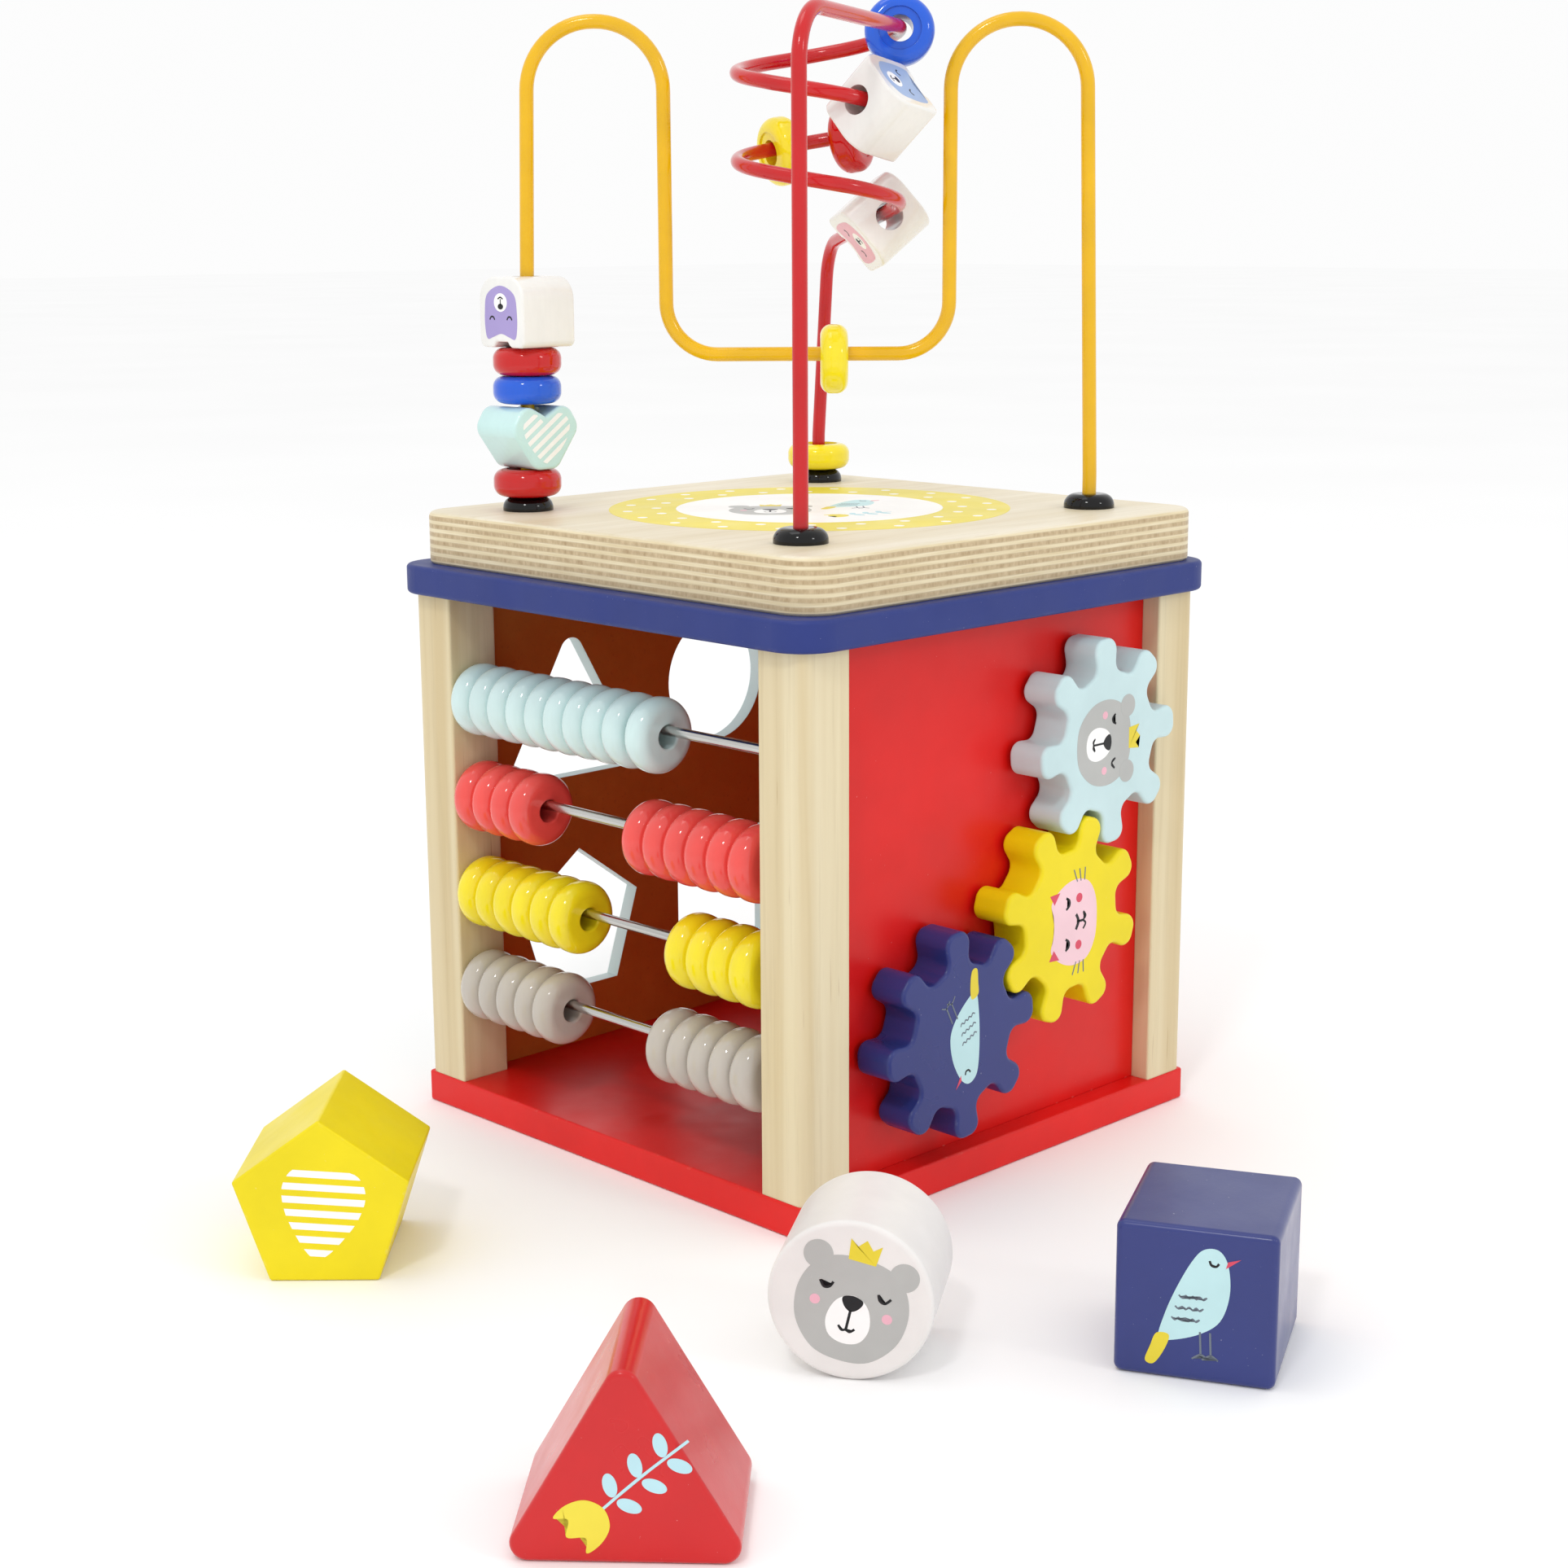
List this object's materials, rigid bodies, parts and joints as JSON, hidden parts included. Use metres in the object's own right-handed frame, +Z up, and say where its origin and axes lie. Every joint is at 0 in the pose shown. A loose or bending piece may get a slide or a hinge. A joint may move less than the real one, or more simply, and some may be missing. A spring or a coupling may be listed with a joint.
{
  "type": "shape sorter",
  "caption": "Wooden activity cube: sorting holes, meshing gears, abacus rods and a clock on its sides, a lift-off lid with a bead maze, and loose sorting blocks.",
  "frame": {"origin": "centre of the underside of the base plate", "axes": "+Z up; -X the open abacus side, -Y the gear side, +Y the sorting side, +X the clock side"},
  "size_m": [0.3966, 0.3726, 0.3978],
  "materials": {
    "red_base": "satin red paint on wood",
    "post_wood": "clear matt varnish on pale solid wood",
    "blue_frame": "matt blue paint on fibreboard",
    "steel_screw": "zinc plated",
    "red_panel": "satin red paint on fibreboard",
    "sorter_board": "pale mint paint on fibreboard",
    "clock_board": "satin red paint on fibreboard",
    "spacer": "ivory plastic",
    "clock_pin": "ivory plastic",
    "rod_steel": "plain steel rod",
    "lid_ply": "birch plywood, clear varnish, printed top",
    "plug_ply": "bare plywood",
    "black_cap": "gloss black",
    "orange_wire": "gloss powder coat",
    "red_wire": "gloss powder coat",
    "yellow_gear": "satin yellow paint",
    "axle_wood": "plain turned wood",
    "mint_gear": "satin mint paint",
    "blue_gear": "satin blue paint",
    "clock_hand": "satin yellow paint",
    "mint_bead": "satin mint lacquer",
    "coral_bead": "satin coral lacquer",
    "yellow_bead": "satin yellow lacquer",
    "grey_bead": "satin warm-grey lacquer",
    "red_bead": "gloss red lacquer",
    "mint_heart": "satin mint lacquer with a print",
    "blue_bead": "gloss blue lacquer",
    "cream_head": "satin white lacquer with a print",
    "cube_paint": "satin blue paint",
    "pentagon_paint": "satin yellow paint",
    "triangle_paint": "satin red paint",
    "cylinder_paint": "satin white paint"
  },
  "bodies": {
    "cube": {"base_plate": "red_base", "post_front": "post_wood", "post_left": "post_wood", "post_right": "post_wood", "post_back": "post_wood", "top_frame": "blue_frame", "base_screws": "steel_screw", "frame_screws": "steel_screw", "gear_panel": "red_panel", "sorter_panel": "sorter_board", "clock_panel": "clock_board", "gear_spacers": "spacer", "clock_pin": "clock_pin", "clock_pin_washer": "clock_pin", "abacus_rods": "rod_steel"},
    "lid": {"lid_block": "lid_ply", "lid_plug": "plug_ply", "lid_screws": "steel_screw", "wire_cap_front": "black_cap", "wire_cap_left": "black_cap", "wire_cap_right": "black_cap", "wire_cap_back": "black_cap", "wire_orange": "orange_wire", "wire_red": "red_wire"},
    "yellow_gear": {"gear_yellow": "yellow_gear", "axle_yellow": "axle_wood", "retainer_yellow": "steel_screw"},
    "mint_gear": {"gear_mint": "mint_gear", "axle_mint": "axle_wood", "retainer_mint": "steel_screw"},
    "blue_gear": {"gear_blue": "blue_gear", "axle_blue": "axle_wood", "retainer_blue": "steel_screw"},
    "hour_hand": {"hour_hand": "clock_hand"},
    "minute_hand": {"minute_hand": "clock_hand"},
    "mint_row_left": {"beads_mint_left": "mint_bead"},
    "coral_row_left": {"beads_coral_left": "coral_bead"},
    "coral_row_right": {"beads_coral_right": "coral_bead"},
    "yellow_row_left": {"beads_yellow_left": "yellow_bead"},
    "yellow_row_right": {"beads_yellow_right": "yellow_bead"},
    "grey_row_left": {"beads_grey_left": "grey_bead"},
    "grey_row_right": {"beads_grey_right": "grey_bead"},
    "leg_ring_lower": {"ring_red_lower": "red_bead"},
    "leg_heart": {"heart_mint": "mint_heart"},
    "leg_ring_blue": {"ring_blue_left": "blue_bead"},
    "leg_ring_upper": {"ring_red_upper": "red_bead"},
    "leg_head": {"head_violet": "cream_head"},
    "dip_ring": {"ring_yellow_dip": "yellow_bead"},
    "foot_ring": {"ring_yellow_foot": "yellow_bead"},
    "helix_ring_blue": {"ring_blue_helix": "blue_bead"},
    "helix_ring_red": {"ring_red_helix": "red_bead"},
    "helix_ring_yellow": {"ring_yellow_helix": "yellow_bead"},
    "helix_head": {"head_blue": "cream_head"},
    "run_head": {"head_pink": "cream_head"},
    "cube_block": {"block_cube": "cube_paint"},
    "pentagon_block": {"block_pentagon": "pentagon_paint"},
    "triangle_block": {"block_triangle": "triangle_paint"},
    "cylinder_block": {"block_cylinder": "cylinder_paint"}
  },
  "joints": [
    {"name": "lid_lift", "type": "slide", "parent": "cube", "child": "lid", "axis": [0, 0, 1], "range_m": [0, 0.1]},
    {"name": "gear_yellow_spin", "type": "hinge", "parent": "cube", "child": "yellow_gear", "pos_m": [0.022, -0.1011, 0.0858], "axis": [0, -1, 0], "continuous": true},
    {"name": "gear_mint_spin", "type": "hinge", "parent": "cube", "child": "mint_gear", "pos_m": [0.04105, -0.1011, 0.14585], "axis": [0, -1, 0], "continuous": true},
    {"name": "gear_blue_spin", "type": "hinge", "parent": "cube", "child": "blue_gear", "pos_m": [-0.03393, -0.1011, 0.05681], "axis": [0, -1, 0], "continuous": true},
    {"name": "hour_hand_turn", "type": "hinge", "parent": "cube", "child": "hour_hand", "pos_m": [0.095, 0, 0.102], "axis": [1, 0, 0], "continuous": true},
    {"name": "minute_hand_turn", "type": "hinge", "parent": "cube", "child": "minute_hand", "pos_m": [0.099, 0, 0.102], "axis": [1, 0, 0], "continuous": true},
    {"name": "mint_row_left_slide", "type": "slide", "parent": "cube", "child": "mint_row_left", "axis": [0, -1, 0], "range_m": [0, 0.053]},
    {"name": "coral_row_left_slide", "type": "slide", "parent": "cube", "child": "coral_row_left", "axis": [0, -1, 0], "range_m": [0, 0.025]},
    {"name": "coral_row_right_slide", "type": "slide", "parent": "cube", "child": "coral_row_right", "axis": [0, 1, 0], "range_m": [-0.0044, 0.025]},
    {"name": "yellow_row_left_slide", "type": "slide", "parent": "cube", "child": "yellow_row_left", "axis": [0, -1, 0], "range_m": [0, 0.025]},
    {"name": "yellow_row_right_slide", "type": "slide", "parent": "cube", "child": "yellow_row_right", "axis": [0, 1, 0], "range_m": [-0.0044, 0.025]},
    {"name": "grey_row_left_slide", "type": "slide", "parent": "cube", "child": "grey_row_left", "axis": [0, -1, 0], "range_m": [0, 0.025]},
    {"name": "grey_row_right_slide", "type": "slide", "parent": "cube", "child": "grey_row_right", "axis": [0, 1, 0], "range_m": [-0.0044, 0.025]},
    {"name": "leg_ring_lower_lift", "type": "slide", "parent": "lid", "child": "leg_ring_lower", "axis": [0.0172, -0.0172, 0.9997], "range_m": [0, 0.012]},
    {"name": "leg_heart_lift", "type": "slide", "parent": "leg_ring_lower", "child": "leg_heart", "axis": [0.0172, -0.0172, 0.9997], "range_m": [0, 0.012]},
    {"name": "leg_ring_blue_lift", "type": "slide", "parent": "leg_heart", "child": "leg_ring_blue", "axis": [0.0172, -0.0172, 0.9997], "range_m": [0, 0.012]},
    {"name": "leg_ring_upper_lift", "type": "slide", "parent": "leg_ring_blue", "child": "leg_ring_upper", "axis": [0.0172, -0.0172, 0.9997], "range_m": [0, 0.012]},
    {"name": "leg_head_lift", "type": "slide", "parent": "leg_ring_upper", "child": "leg_head", "axis": [0.0172, -0.0172, 0.9997], "range_m": [0, 0.012]},
    {"name": "dip_ring_slide", "type": "slide", "parent": "lid", "child": "dip_ring", "axis": [0.7071, -0.7071, 0], "range_m": [-0.036, 0.0175]},
    {"name": "foot_ring_lift", "type": "slide", "parent": "lid", "child": "foot_ring", "axis": [0, 0, 1], "range_m": [0, 0.028]},
    {"name": "helix_ring_blue_turn", "type": "hinge", "parent": "lid", "child": "helix_ring_blue", "pos_m": [0.0238, -0.0238, 0.3857], "axis": [0.6973, 0.6973, -0.1659], "continuous": true},
    {"name": "helix_ring_red_turn", "type": "hinge", "parent": "lid", "child": "helix_ring_red", "pos_m": [0.03031, 0.00558, 0.35076], "axis": [-0.3373, 0.9267, -0.1659], "continuous": true},
    {"name": "helix_ring_yellow_turn", "type": "hinge", "parent": "lid", "child": "helix_ring_yellow", "pos_m": [0.01219, 0.02278, 0.3464], "axis": [-0.9431, 0.2883, -0.1659], "continuous": true},
    {"name": "helix_head_turn", "type": "hinge", "parent": "lid", "child": "helix_head", "pos_m": [0.00633, -0.03058, 0.35969], "axis": [0.9824, 0.0859, -0.1659], "range_deg": [-20, 20]},
    {"name": "run_head_slide", "type": "slide", "parent": "lid", "child": "run_head", "axis": [0.5178, 0.844, -0.14], "range_m": [-0.006, 0.04]},
    {"name": "cube_block_lift", "type": "slide", "parent": "cube", "child": "cube_block", "axis": [0, 0, 1], "range_m": [0, 0.08]},
    {"name": "pentagon_block_lift", "type": "slide", "parent": "cube", "child": "pentagon_block", "axis": [0, 0, 1], "range_m": [0, 0.08]},
    {"name": "triangle_block_lift", "type": "slide", "parent": "cube", "child": "triangle_block", "axis": [0, 0, 1], "range_m": [0, 0.08]},
    {"name": "cylinder_block_lift", "type": "slide", "parent": "cube", "child": "cylinder_block", "axis": [0, 0, 1], "range_m": [0, 0.08]}
  ],
  "couplings": [
    {"joint": "gear_mint_spin", "follows": "gear_yellow_spin", "ratio": -1},
    {"joint": "gear_blue_spin", "follows": "gear_yellow_spin", "ratio": -1}
  ]
}
